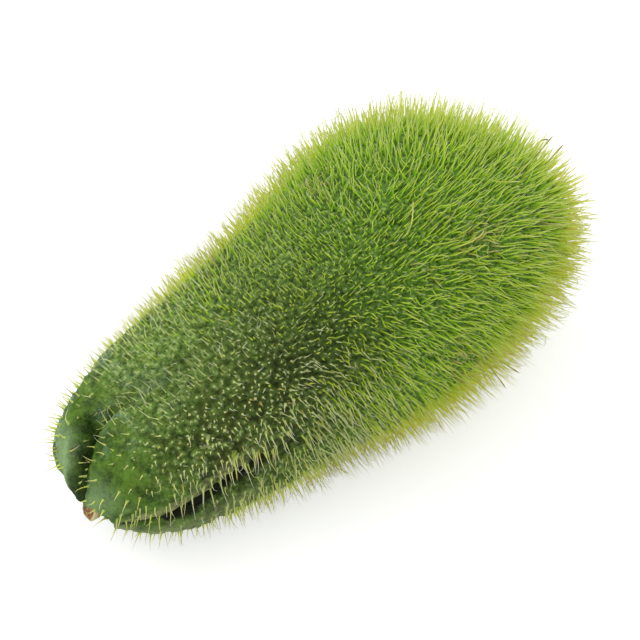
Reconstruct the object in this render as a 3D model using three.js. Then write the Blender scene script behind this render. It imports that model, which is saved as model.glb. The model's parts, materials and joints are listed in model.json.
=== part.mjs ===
// A spiny chayote lying on its side: a pear-shaped green fruit whose five lobes curl round a short woody
// stem stub at its narrow end, with stiff bristles standing all over its skin.
// Millimetres, +Z up. The stem end points to -X, the blossom end to +X, and the floor is z = 0.
import * as THREE from "three";
import { mergeVertices } from "three/addons/utils/BufferGeometryUtils.js";

const radians = THREE.MathUtils.degToRad;
const smoothstep = THREE.MathUtils.smoothstep;

// Outline of the skin from the bottom of the stem hollow, over the lobes' rim and the belly, to the
// dimple at the blossom end: [distance along the fruit from the stem end, radius].
const OUTLINE = [
  [7, 0], [6.4, 4], [1.4, 8], [0, 11.8], [3.4, 16.8], [12, 21.8], [26, 26], [45, 28.6], [66, 31],
  [86, 34.2], [104, 35.4], [120, 32.6], [133, 26.2], [142.5, 18.2], [148.4, 9.5], [150, 4], [149, 0],
];
const LENGTH = 150;
const LEAN = radians(8.3); // how far the blossom end rises above the stem end
const FLAT_DEPTH = 0.5; // how much the belly is flattened where it rests
const REST_AT = 97; // how far along the fruit its resting point lies

// The five furrows. Each starts at the angle `near`, measured round the fruit from +Y towards the top,
// drifts to `far` and swings aside at the very end of its lobe. It is a broad valley with a narrow slit
// along its floor: depths in millimetres, the slit's width in radians and its reach along the fruit.
const FURROWS = [
  { near: 26, far: 22, swing: 0, valley: 3, slit: 2, width: 0.1, reach: 42 },
  { near: 78, far: 94, swing: 36, valley: 4.2, slit: 0.8, width: 0.1, reach: 42 },
  { near: 188, far: 168, swing: 0, valley: 1.4, slit: 4.6, width: 0.12, reach: 40 },
  { near: 254, far: 250, swing: 0, valley: 2.5, slit: 3, width: 0.1, reach: 42 },
  { near: 314, far: 314, swing: 0, valley: 3.2, slit: 2.5, width: 0.1, reach: 42 },
];
const VALLEY_WIDTH = 0.36; // radians
const VALLEY_REACH = 62; // how far along the fruit the valleys fade out
const DRIFT_REACH = 45; // where a furrow has reached its angle `far`
const SWING_REACH = 7;

// Two furrows are folds, where one lobe laps over the next: the skin slopes gently down on one side, by
// the width `gentle` in radians, whose sign tells the side, and rises steeply on the other.
const FOLDS = [
  { furrow: FURROWS[1], depth: 5.5, gentle: -0.45, steep: 0.12, deepest: 7, reach: 8 },
  { furrow: FURROWS[2], depth: 3, gentle: 0.3, steep: 0.1, deepest: 0, reach: 45 },
];
const FOLD_SHOULDER = [0.4, 1.05]; // shares of its gentle side over which a fold ends

// Swells and dents of single lobes near the stem: angle in degrees, height, width in radians, reach.
const LOBE_SWELLS = [
  [144, 1.4, 0.3, 42], [198, 1.1, 0.4, 55], [34, 0.9, 0.45, 60],
  [40, -1.3, 0.6, 8], [206, -2, 0.3, 4], [101, -1.2, 0.14, 8], [127, 1.4, 0.2, 5],
];

const CLEFT_DEPTH = 1.6; // the closed mouth across the blossom end
const CLEFT_WIDTH = 0.32;
const CLEFT_REACH = 14;

// The furrows and swells set in over the lobes' rim, and run out where the outline's radius is small.
const RELIEF_ALONG = [0.035, 0.1]; // shares of the outline over which they set in
const RELIEF_RADIUS = 9; // radius from which they have their full depth

// The stem end is lopsided: the hollow lies off the middle, its mouth faces aside and downwards, and the
// lobes at the top are longer.
const HOLLOW_SHIFT = 9;
const HOLLOW_SHIFT_ANGLE = radians(165);
const MOUTH_SKEW = 0.22; // length lost per millimetre of radius, towards MOUTH_SKEW_ANGLE
const MOUTH_SKEW_ANGLE = radians(214);
const LONG_LOBES = 6.7;
const LONG_LOBES_ANGLE = radians(107);
const LONG_LOBES_WIDTH = 0.39; // radians
const LONG_LOBES_RISE = [3, 12]; // radii between which the extra length grows
const LOPSIDED_FROM = 0.02; // share of the outline up to which all this is felt in full
const SHIFT_REACH = 0.13; // share of the outline at which the shift has faded out
const SKEW_REACH = 0.21;

// Seen from above the fruit is not quite straight: it swells to +Y at the belly and swings to -Y at the
// blossom end.
const BELLY_SWELL = 3.2;
const BELLY_SWELL_AT = 113;
const BELLY_SWELL_REACH = 22;
const BLOSSOM_SWING = 4.5;
const BLOSSOM_SWING_RANGE = [131, 152];

const AROUND = 72; // facets round the skin
const ALONG = 44; // rings from the stem hollow to the blossom end
const RING_CROWDING = 1.3; // above 1, rings lie closer together at the stem end

const BRISTLE_FOOT = 0.36; // size of a bristle's foot against its facet
const NECK_BRISTLE = 4.8; // bristle length on the neck
const BELLY_BRISTLE = 7.8; // bristle length on the wide end
const BRISTLE_GROWTH = [-70, 5]; // where along +X from the resting point the length grows
const FLOOR_CLEARANCE = 0.6; // bristles whose tips would come lower than this are left out
const BARE_HOLLOW = 9; // rings in and round the stem hollow that carry no bristles
const BARE_BLOSSOM = 3; // rings at the blossom end that carry none
const BARE_SLIT = 0.17; // radians on either side of a slit that carry none
const BARE_SLIT_RINGS = 24; // rings up to which the slits are bare

const STUB_GAP = 0.35; // gap under the stub, so that it is a piece of its own
const STUB_RADIUS = 2.7;
const STUB_LENGTH = 9; // along its bend
const STUB_END_WAY = [-1, 0.1, 0.6]; // the way its broken end faces, on the level fruit
const STUB_SIDES = 20;
const STUB_STEPS = 3; // rings to each part of the stub's outline

const WELD = 1e-5; // corners closer than this are one

const outline = new THREE.SplineCurve(OUTLINE.map(([x, r]) => new THREE.Vector2(x, r)));

// The angle between two directions round the fruit, from -PI to PI.
function between(angle, other) {
  return Math.atan2(Math.sin(angle - other), Math.cos(angle - other));
}

// A bell that is 1 at 0 and falls off with distance over `width`.
function bell(distance, width) {
  return Math.exp(-((distance / width) ** 2));
}

// The angle at which a furrow runs at a distance along the fruit.
function furrowCourse(furrow, x) {
  const drifted = THREE.MathUtils.lerp(furrow.near, furrow.far, smoothstep(x, 0, DRIFT_REACH));
  return radians(drifted + furrow.swing * bell(x, SWING_REACH));
}

// How much of a fold is felt at one place, from 0 to 1.
function foldShare(fold, x, angle) {
  const toward = between(angle, furrowCourse(fold.furrow, x)) * Math.sign(fold.gentle);
  const gentle = 1 - smoothstep(toward / Math.abs(fold.gentle), ...FOLD_SHOULDER);
  const steep = 1 - smoothstep(-toward, 0, fold.steep);
  return gentle * steep * bell(x - fold.deepest, fold.reach);
}

// How far the skin sinks at one place: the furrows and folds, deepest on the neck, less the lobes'
// swells, and one short cleft across the blossom end.
function sink(x, angle) {
  let depth = CLEFT_DEPTH * bell(Math.sin(angle), CLEFT_WIDTH) * bell(LENGTH - x, CLEFT_REACH);
  for (const furrow of FURROWS) {
    const away = between(angle, furrowCourse(furrow, x));
    const wall = Math.exp(-(Math.abs(away / furrow.width) ** 3));
    depth += furrow.valley * bell(x, VALLEY_REACH) * bell(away, VALLEY_WIDTH);
    depth += furrow.slit * bell(x, furrow.reach) * wall;
  }
  for (const fold of FOLDS) {
    depth += fold.depth * foldShare(fold, x, angle);
  }
  for (const [middle, height, width, reach] of LOBE_SWELLS) {
    depth -= height * bell(between(angle, radians(middle)), width) * bell(x, reach);
  }
  return depth;
}

// How far the middle of the level fruit lies towards +Y.
function sway(x) {
  const back = BLOSSOM_SWING * smoothstep(x, ...BLOSSOM_SWING_RANGE);
  return BELLY_SWELL * bell(x - BELLY_SWELL_AT, BELLY_SWELL_REACH) - back;
}

// One point of the skin on a level fruit. `along` runs from 0 in the stem hollow to 1 at the blossom
// end, by length along the outline.
function fruitPoint(along, angle) {
  const place = outline.getPointAt(along);
  const heading = outline.getTangentAt(along);
  const relief = smoothstep(place.y, 0, RELIEF_RADIUS) * smoothstep(along, ...RELIEF_ALONG);
  const depth = sink(place.x, angle) * relief;
  const radius = Math.max(place.y - heading.x * depth, 0);
  const shifted = HOLLOW_SHIFT * (1 - smoothstep(along, LOPSIDED_FROM, SHIFT_REACH));
  const skewed = 1 - smoothstep(along, LOPSIDED_FROM, SKEW_REACH);
  const longer = LONG_LOBES * bell(between(angle, LONG_LOBES_ANGLE), LONG_LOBES_WIDTH);
  const shorter = MOUTH_SKEW * radius * Math.cos(angle - MOUTH_SKEW_ANGLE);
  return new THREE.Vector3(
    place.x + heading.y * depth + skewed * (shorter - longer * smoothstep(radius, ...LONG_LOBES_RISE)),
    radius * Math.cos(angle) + shifted * Math.cos(HOLLOW_SHIFT_ANGLE) + sway(place.x),
    radius * Math.sin(angle) + shifted * Math.sin(HOLLOW_SHIFT_ANGLE),
  );
}

// Leans a point of the level fruit so that its belly and its neck both reach the floor.
function lean(point) {
  return point.clone().applyAxisAngle(new THREE.Vector3(0, 1, 0), -LEAN);
}

// Rings of leant skin points, not yet lowered to the floor.
function skinRings() {
  const rings = [];
  for (let ring = 1; ring < ALONG; ring++) {
    const along = (ring / ALONG) ** RING_CROWDING;
    const row = [];
    for (let k = 0; k < AROUND; k++) {
      row.push(lean(fruitPoint(along, ((k + 0.5) / AROUND) * 2 * Math.PI)));
    }
    rings.push(row);
  }
  return rings;
}

const rings = skinRings();
const stemPole = lean(fruitPoint(0, 0));
const blossomPole = lean(fruitPoint(1, 0));
const floorLevel = Math.min(...rings.flat().map((point) => point.z)) + FLAT_DEPTH;
const restX = lean(new THREE.Vector3(REST_AT, 0, 0)).x;

// Lowers a leant point to the floor, with the resting point at the origin, and flattens what would sink
// into the floor.
function settle(point) {
  point.set(point.x - restX, point.y - sway(REST_AT), Math.max(point.z - floorLevel, 0));
}
[...rings.flat(), stemPole, blossomPole].forEach(settle);

const corners = [];
function addTriangle(a, b, c) {
  corners.push(a, b, c);
}

// A facet with a bristle on it: a small copy of the facet at its middle, raised to a point.
function addBristle(a, b, c) {
  const middle = new THREE.Vector3().add(a).add(b).add(c).divideScalar(3);
  const normal = new THREE.Triangle(a, b, c).getNormal(new THREE.Vector3());
  const grown = smoothstep(middle.x, ...BRISTLE_GROWTH);
  const length = THREE.MathUtils.lerp(NECK_BRISTLE, BELLY_BRISTLE, grown);
  const tip = middle.clone().addScaledVector(normal, length);
  if (tip.z < FLOOR_CLEARANCE) {
    addTriangle(a, b, c);
    return;
  }
  const facet = [a, b, c];
  const foot = facet.map((corner) => middle.clone().lerp(corner, BRISTLE_FOOT));
  for (let k = 0; k < 3; k++) {
    const next = (k + 1) % 3;
    addTriangle(facet[k], facet[next], foot[next]);
    addTriangle(facet[k], foot[next], foot[k]);
    addTriangle(foot[k], foot[next], tip);
  }
}

// Bristles stand on every second ring and every third facet, in staggered rows, but not in the stem
// hollow, at the blossom pole or in the slits of the neck, where they would cross.
function carriesBristle(ring, k) {
  const staggered = ring % 2 === 0 && (k + ring / 2) % 3 === 0;
  if (!staggered || ring <= BARE_HOLLOW || ring >= ALONG - BARE_BLOSSOM) return false;
  if (ring > BARE_SLIT_RINGS) return true;
  const angle = ((k + 1) / AROUND) * 2 * Math.PI;
  const { x } = outline.getPointAt((ring / ALONG) ** RING_CROWDING);
  return FURROWS.every((furrow) => Math.abs(between(angle, furrowCourse(furrow, x))) > BARE_SLIT);
}

function fruitGeometry() {
  for (let k = 0; k < AROUND; k++) {
    const next = (k + 1) % AROUND;
    addTriangle(stemPole, rings[0][next], rings[0][k]);
    addTriangle(blossomPole, rings[rings.length - 1][k], rings[rings.length - 1][next]);
    for (let ring = 0; ring < rings.length - 1; ring++) {
      const [a, b] = [rings[ring][k], rings[ring][next]];
      const [c, d] = [rings[ring + 1][k], rings[ring + 1][next]];
      addTriangle(a, b, c);
      if (carriesBristle(ring, k)) addBristle(b, d, c);
      else addTriangle(b, d, c);
    }
  }
  const merged = mergeVertices(new THREE.BufferGeometry().setFromPoints(corners), WELD);
  merged.computeVertexNormals();
  return merged;
}

// The stub left of the stalk: a short peg, flared at its broken end, which is slightly sunken. It stands
// up from `start` along `foot` and bends until its end faces along `end`.
function stubGeometry(start, foot, end) {
  const turns = [
    [0, 0], [0.9, 0], [1, 0.12], [0.9, 0.45], [1.02, 0.8], [1.12, 0.94], [1, 1], [0.6, 0.97], [0, 0.93],
  ].map(([r, h]) => new THREE.Vector2(r * STUB_RADIUS, h * STUB_LENGTH));
  const profile = [turns[0]];
  for (let k = 1; k < turns.length; k++) {
    for (let step = 1; step <= STUB_STEPS; step++) {
      profile.push(turns[k - 1].clone().lerp(turns[k], step / STUB_STEPS));
    }
  }
  const lathe = new THREE.LatheGeometry(profile, STUB_SIDES);
  lathe.deleteAttribute("normal");
  lathe.deleteAttribute("uv");
  const peg = mergeVertices(lathe, WELD);
  const places = peg.attributes.position;
  const place = new THREE.Vector3();
  for (let k = 0; k < places.count; k++) {
    place.fromBufferAttribute(places, k);
    const share = place.y / STUB_LENGTH;
    const way = foot.clone().lerp(end, share).normalize();
    const turned = new THREE.Quaternion().setFromUnitVectors(new THREE.Vector3(0, 1, 0), way);
    place.setY(0).applyQuaternion(turned).add(start);
    place.addScaledVector(foot, STUB_LENGTH * (share - share ** 2 / 2));
    place.addScaledVector(end, STUB_LENGTH * (share ** 2 / 2));
    places.setXYZ(k, place.x, place.y, place.z);
  }
  peg.computeVertexNormals();
  return peg;
}

const rind = new THREE.MeshStandardMaterial({ color: 0x5f8a36, roughness: 0.55, metalness: 0 });
const cork = new THREE.MeshStandardMaterial({ color: 0xb07a45, roughness: 0.8, metalness: 0 });

const fruit = new THREE.Mesh(fruitGeometry(), rind);
fruit.name = "fruit";

// The stub's foot stands square on the floor of the hollow, which tilts as the mouth does.
const [downY, downZ] = [Math.cos(MOUTH_SKEW_ANGLE), Math.sin(MOUTH_SKEW_ANGLE)];
const foot = lean(new THREE.Vector3(-1, MOUTH_SKEW * downY, MOUTH_SKEW * downZ)).normalize();
const end = lean(new THREE.Vector3(...STUB_END_WAY)).normalize();
const start = stemPole.clone().addScaledVector(foot, STUB_GAP);
const stub = new THREE.Mesh(stubGeometry(start, foot, end), cork);
stub.name = "stem_stub";

// The origin is on the floor under the middle of the whole piece.
const chayote = new THREE.Group();
chayote.add(fruit, stub);
const middle = new THREE.Box3().setFromObject(chayote, true).getCenter(new THREE.Vector3());
chayote.position.set(-middle.x, -middle.y, 0);

export default chayote;
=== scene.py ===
"""A spiny chayote lying on a white table: a lobed green fruit with its bristles and a corky stem stub."""
import json
import math
from collections import namedtuple
from types import SimpleNamespace

import bpy
import numpy as np
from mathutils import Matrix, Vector


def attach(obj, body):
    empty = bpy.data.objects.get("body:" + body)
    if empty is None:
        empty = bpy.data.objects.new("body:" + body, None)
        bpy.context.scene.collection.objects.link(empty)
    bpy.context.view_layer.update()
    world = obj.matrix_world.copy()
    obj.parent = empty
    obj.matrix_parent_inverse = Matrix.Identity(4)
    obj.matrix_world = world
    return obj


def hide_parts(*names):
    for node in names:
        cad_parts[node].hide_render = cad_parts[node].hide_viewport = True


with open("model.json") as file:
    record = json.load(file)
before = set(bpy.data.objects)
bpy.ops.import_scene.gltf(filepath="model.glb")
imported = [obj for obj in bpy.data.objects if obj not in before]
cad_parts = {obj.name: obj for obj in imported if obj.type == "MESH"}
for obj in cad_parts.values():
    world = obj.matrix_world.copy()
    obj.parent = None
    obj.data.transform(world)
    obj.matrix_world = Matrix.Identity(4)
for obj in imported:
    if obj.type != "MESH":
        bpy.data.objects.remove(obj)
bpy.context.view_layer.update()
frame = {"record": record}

MM = 0.001  # shapes are worked out in millimetres and made in metres
GOLDEN_TURN = math.pi * (3 - math.sqrt(5))

# ---------------------------------------------------------------- the fruit's form, as in the CAD model

# Outline of the skin from the stem hollow to the blossom dimple: distance along the fruit and radius.
OUTLINE = np.array([
    (7, 0), (6.4, 4), (1.4, 8), (0, 11.8), (3.4, 16.8), (12, 21.8), (26, 26), (45, 28.6), (66, 31),
    (86, 34.2), (104, 35.4), (120, 32.6), (133, 26.2), (142.5, 18.2), (148.4, 9.5), (150, 4), (149, 0),
], float)
LENGTH = 150
LEAN = math.radians(8.3)  # how far the blossom end rises above the stem end
FLAT_DEPTH = 0.5  # how much the belly is flattened where it rests
REST_AT = 97  # how far along the fruit its resting point lies

# A furrow has its angle near the stem and further on and its swing at the very end, then the depth of its
# valley, and the depth, width and reach of the slit in the valley's floor.
Furrow = namedtuple("Furrow", "near far swing valley slit width reach")
FURROWS = (
    Furrow(26, 22, 0, 3, 2, 0.1, 42),
    Furrow(78, 94, 36, 4.2, 0.8, 0.1, 42),
    Furrow(188, 168, 0, 1.4, 4.6, 0.12, 40),
    Furrow(254, 250, 0, 2.5, 3, 0.1, 42),
    Furrow(314, 314, 0, 3.2, 2.5, 0.1, 42),
)
FOLDED, OPEN = FURROWS[1:3]  # where the lobe over the hollow folds, and the open slit under the front lobe
VALLEY_WIDTH, VALLEY_REACH = 0.36, 62
DRIFT_REACH, SWING_REACH = 45, 7
CLEFT_DEPTH, CLEFT_WIDTH, CLEFT_REACH = 1.6, 0.32, 14
HOLLOW_SHIFT, HOLLOW_SHIFT_ANGLE = 9, math.radians(165)
MOUTH_SKEW, MOUTH_SKEW_ANGLE = 0.22, math.radians(214)
LONG_LOBES, LONG_LOBES_ANGLE, LONG_LOBES_WIDTH = 6.7, math.radians(107), 0.39
LOPSIDED_FROM, SHIFT_REACH, SKEW_REACH = 0.02, 0.13, 0.21  # shares of the outline
LONG_LOBES_FROM, LONG_LOBES_FULL = 3, 12  # radii between which the lobes lengthen
RELIEF_FROM, RELIEF_TO = 0.035, 0.1  # shares of the outline over which the furrows set in
RELIEF_RADIUS = 9  # radius of the outline at which they have their full depth
BELLY_SWELL, BELLY_SWELL_AT, BELLY_SWELL_REACH = 3.2, 113, 22
BLOSSOM_SWING, BLOSSOM_SWING_FROM = 4.5, 131
# A fold, where one lobe laps over the next, has its furrow, depth, width of the gentle side (its sign tells
# the side), width of the steep side, where it is deepest, and reach.
Fold = namedtuple("Fold", "furrow depth gentle steep deepest reach")
FOLDS = (Fold(FOLDED, 5.5, -0.45, 0.12, 7, 8), Fold(OPEN, 3, 0.3, 0.1, 0, 45))
FOLD_TOP, FOLD_FOOT = 0.4, 1.05  # where the gentle side starts to slope off and ends, in its widths
# Swells and dents of single lobes near the stem: angle, height, width and reach.
LOBE_SWELLS = (
    (144, 1.4, 0.3, 42), (198, 1.1, 0.4, 55), (34, 0.9, 0.45, 60),
    (40, -1.3, 0.6, 8), (206, -2, 0.3, 4), (101, -1.2, 0.14, 8), (127, 1.4, 0.2, 5),
)


def smoothstep(value, low, high):
    """Rises smoothly from 0 at low to 1 at high."""
    share = np.clip((value - low) / (high - low), 0, 1)
    return share * share * (3 - 2 * share)


def fade(value, start, end):
    """Falls smoothly from 1 at start to 0 at end."""
    return 1 - smoothstep(value, start, end)


def band(value, start, full, last, end):
    """Rises from 0 at start to 1 at full, and falls from 1 at last to 0 at end."""
    return smoothstep(value, start, full) * fade(value, last, end)


def bell(distance, width):
    """Is 1 at 0 and falls off with distance over width."""
    return np.exp(-((distance / width) ** 2))


def between(angle, other):
    """The angle from other to angle, from -pi to pi."""
    return np.arctan2(np.sin(angle - other), np.cos(angle - other))


def near_angle(angle, degrees, width):
    """How near angles lie to one that is given in degrees, from 0 to 1."""
    return bell(between(angle, math.radians(degrees)), width)


def unit(vectors):
    """The vectors at length 1."""
    return vectors / np.maximum(np.linalg.norm(vectors, axis=-1, keepdims=True), 1e-12)


def spline(points, place):
    """A uniform Catmull-Rom curve through the points, at places from 0 to 1."""
    last = len(points) - 1
    step = np.minimum(np.floor(place * last).astype(int), last - 1)
    part = (place * last - step)[..., None]
    before, start = points[np.maximum(step - 1, 0)], points[step]
    end, after = points[np.minimum(step + 1, last)], points[np.minimum(step + 2, last)]
    leaving, arriving = (end - before) / 2, (after - start) / 2
    cubic = (2 * start - 2 * end + leaving + arriving) * part**3
    return cubic + (3 * end - 3 * start - 2 * leaving - arriving) * part**2 + leaving * part + start


FINE = np.linspace(0, 1, 2001)
FINE_OUTLINE = spline(OUTLINE, FINE)
FINE_STEPS = np.linalg.norm(np.diff(FINE_OUTLINE, axis=0), axis=1)
FINE_LENGTH = np.concatenate([[0], np.cumsum(FINE_STEPS)])
FINE_SHARE = FINE_LENGTH / FINE_LENGTH[-1]


def outline_at(along):
    """The outline's distance and radius at shares of its length, and its heading there."""
    place = np.interp(along, FINE_SHARE, FINE)
    ahead = spline(OUTLINE, np.minimum(place + 1e-4, 1))
    behind = spline(OUTLINE, np.maximum(place - 1e-4, 0))
    return spline(OUTLINE, place), unit(ahead - behind)


def off_furrow(furrow, x, angle):
    """The angle from a furrow, which drifts from one angle to the other and swings at the very end."""
    drift = (furrow.far - furrow.near) * smoothstep(x, 0, DRIFT_REACH)
    return between(angle, np.radians(furrow.near + drift + furrow.swing * bell(x, SWING_REACH)))


def valley_share(furrow, x, angle):
    """How much of a furrow's valley is felt at a place, from 0 to 1."""
    return bell(x, VALLEY_REACH) * bell(off_furrow(furrow, x, angle), VALLEY_WIDTH)


def slit_share(furrow, x, angle, wider=1):
    """How much of a furrow's slit is felt at a place, from 0 to 1: its walls are steep."""
    away = off_furrow(furrow, x, angle) / (furrow.width * wider)
    return bell(x, furrow.reach) * np.exp(-np.abs(away) ** 3)


def fold_share(fold, x, angle):
    """How much of a fold is felt: full at its furrow, sloping off on one side and steep on the other."""
    toward = off_furrow(fold.furrow, x, angle) * math.copysign(1, fold.gentle)
    slope = fade(toward / abs(fold.gentle), FOLD_TOP, FOLD_FOOT) * fade(-toward, 0, fold.steep)
    return bell(x - fold.deepest, fold.reach) * slope


def sink(x, angle):
    """How far the skin sinks: a valley and a slit for each furrow, and the cleft at the blossom end."""
    depth = CLEFT_DEPTH * bell(np.sin(angle), CLEFT_WIDTH) * bell(LENGTH - x, CLEFT_REACH)
    for furrow in FURROWS:
        depth = depth + furrow.valley * valley_share(furrow, x, angle)
        depth = depth + furrow.slit * slit_share(furrow, x, angle)
    for fold in FOLDS:
        depth = depth + fold.depth * fold_share(fold, x, angle)
    for middle, height, width, reach in LOBE_SWELLS:
        depth = depth - height * near_angle(angle, middle, width) * bell(x, reach)
    return depth


def sway(x):
    """How far the middle of the level fruit lies to one side: out at the belly and back at the blossom."""
    back = BLOSSOM_SWING * smoothstep(x, BLOSSOM_SWING_FROM, LENGTH + 2)
    return BELLY_SWELL * bell(x - BELLY_SWELL_AT, BELLY_SWELL_REACH) - back


def level_fruit(along, angle):
    """Points of the level fruit: the outline turned round the axis and sunk along its normal by the
    furrows, with the stem hollow moved off the middle, its mouth skewed and two lobes lengthened, and with
    the wide end swelling to one side."""
    place, heading = outline_at(along)
    relief = smoothstep(place[..., 1], 0, RELIEF_RADIUS) * smoothstep(along, RELIEF_FROM, RELIEF_TO)
    depth = sink(place[..., 0], angle) * relief
    radius = np.maximum(place[..., 1] - heading[..., 0] * depth, 0)
    shifted = HOLLOW_SHIFT * fade(along, LOPSIDED_FROM, SHIFT_REACH)
    skewed = fade(along, LOPSIDED_FROM, SKEW_REACH)
    longer = LONG_LOBES * bell(between(angle, LONG_LOBES_ANGLE), LONG_LOBES_WIDTH)
    shorter = MOUTH_SKEW * radius * np.cos(angle - MOUTH_SKEW_ANGLE)
    longer = longer * smoothstep(radius, LONG_LOBES_FROM, LONG_LOBES_FULL)
    x = place[..., 0] + heading[..., 1] * depth + skewed * (shorter - longer)
    y = radius * np.cos(angle) + shifted * math.cos(HOLLOW_SHIFT_ANGLE) + sway(x)
    z = radius * np.sin(angle) + shifted * math.sin(HOLLOW_SHIFT_ANGLE)
    return np.stack([x, y, z], -1)


def lean(points):
    """Turns level points about Y so that the belly and the neck both reach the floor."""
    x, y, z = np.moveaxis(points, -1, 0)
    return np.stack([
        x * math.cos(LEAN) - z * math.sin(LEAN), y, x * math.sin(LEAN) + z * math.cos(LEAN),
    ], -1)


ROW_POWER = 1.3  # the rows' shares of the outline are raised to this, which puts more at the stem end


def grid(rows, columns):
    """Places on the skin: rows along the fruit, closer together at the stem end, by columns round it."""
    along = (np.arange(1, rows) / rows) ** ROW_POWER
    angle = (np.arange(columns) + 0.5) / columns * 2 * math.pi
    return np.meshgrid(along, angle, indexing="ij")


mount = next(m for m in frame["record"]["mounts"] if m["name"] == "belly_rest")
REST = np.array(mount["pos_m"]) / MM
CAD_ROWS, CAD_COLUMNS = 44, 72
FLOOR_LEVEL = lean(level_fruit(*grid(CAD_ROWS, CAD_COLUMNS)))[..., 2].min() + FLAT_DEPTH
REST_OFFSET = REST - (REST_AT * math.cos(LEAN), sway(REST_AT), FLOOR_LEVEL)


def fruit(along, angle):
    """Points of the fruit as it lies, before its underside is pressed flat."""
    return lean(level_fruit(along, angle)) + REST_OFFSET


def skin_normal(along, angle):
    """The outward normal, from the surface's slopes along and round the fruit."""
    step = 2e-4
    low, high = np.clip(along - step, 1e-5, 1), np.clip(along + step, 0, 1 - 1e-5)
    onward = fruit(high, angle) - fruit(low, angle)
    round_it = fruit(along, angle + step) - fruit(along, angle - step)
    return unit(np.cross(round_it, onward))


# Numbers with no common step, which scatter the noise's values.
LATTICE_KEY, SEED_KEY, LATTICE_SCALE = (127.1, 311.7, 74.7), 53.3, 43758.5453


def noise(points, size, seed):
    """Smooth random numbers from -1 to 1 in space: random values on a lattice of the given size, blended
    across each cell."""
    scaled = points / size
    cell = np.floor(scaled)
    weight = smoothstep(scaled - cell, 0, 1)
    total = 0
    for corner in np.ndindex(2, 2, 2):
        key = (cell + corner) @ LATTICE_KEY + SEED_KEY * seed
        value = np.modf(np.abs(np.sin(key)) * LATTICE_SCALE)[0] * 2 - 1
        total = total + value * np.where(corner, weight, 1 - weight).prod(-1)
    return total


# ---------------------------------------------------------------- meshes


def mesh_object(name, points, faces, uv=None, **values):
    """A smooth mesh from points in millimetres and arrays of faces, each array of one size of face.

    uv gives a place for each corner, and values a number for each point."""
    sizes = np.concatenate([np.full(len(f), f.shape[1]) for f in faces])
    mesh = bpy.data.meshes.new(name)
    mesh.vertices.add(len(points))
    mesh.vertices.foreach_set("co", (points * MM).astype(np.float32).ravel())
    mesh.loops.add(int(sizes.sum()))
    mesh.polygons.add(len(sizes))
    mesh.polygons.foreach_set("loop_start", np.concatenate([[0], np.cumsum(sizes)[:-1]]).astype(np.int32))
    mesh.polygons.foreach_set("vertices", np.concatenate([f.ravel() for f in faces]).astype(np.int32))
    mesh.update(calc_edges=True)
    mesh.shade_smooth()
    if uv is not None:
        mesh.uv_layers.new(name="OFBake").uv.foreach_set("vector", uv.astype(np.float32).ravel())
    for key, numbers in values.items():
        layer = mesh.attributes.new(key, "FLOAT", "POINT")
        layer.data.foreach_set("value", np.asarray(numbers, np.float32).ravel())
    piece = bpy.data.objects.new(name, mesh)
    bpy.context.collection.objects.link(piece)
    return piece


def revolve_faces(rows, columns):
    """Quads between rows of points round a form, with the corners' row and column numbers."""
    row, column = np.meshgrid(np.arange(rows - 1), np.arange(columns), indexing="ij")
    rise, turn = np.array([0, 0, 1, 1]), np.array([0, 1, 1, 0])
    rows_at = row.reshape(-1, 1) + rise
    turns_at = column.reshape(-1, 1) + turn
    return rows_at * columns + turns_at % columns, rows_at, turns_at


def closing_fans(rows, columns):
    """Triangles that close both ends of a form made of rows of points, each towards a pole. The two poles
    come after the rows."""
    column = np.arange(columns)
    following = (column + 1) % columns
    last_row, poles = (rows - 1) * columns, rows * columns
    first_fan = np.stack([np.full_like(column, poles), following, column], 1)
    last_fan = np.stack([np.full_like(column, poles + 1), last_row + column, last_row + following], 1)
    return first_fan, last_fan


# ---------------------------------------------------------------- materials


def srgb(red, green, blue):
    """A linear colour from 0 to 255 values on a screen, by the sRGB curve."""
    return tuple(((c / 255 + 0.055) / 1.055) ** 2.4 if c > 10 else c / 3294.6 for c in (red, green, blue))


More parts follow.
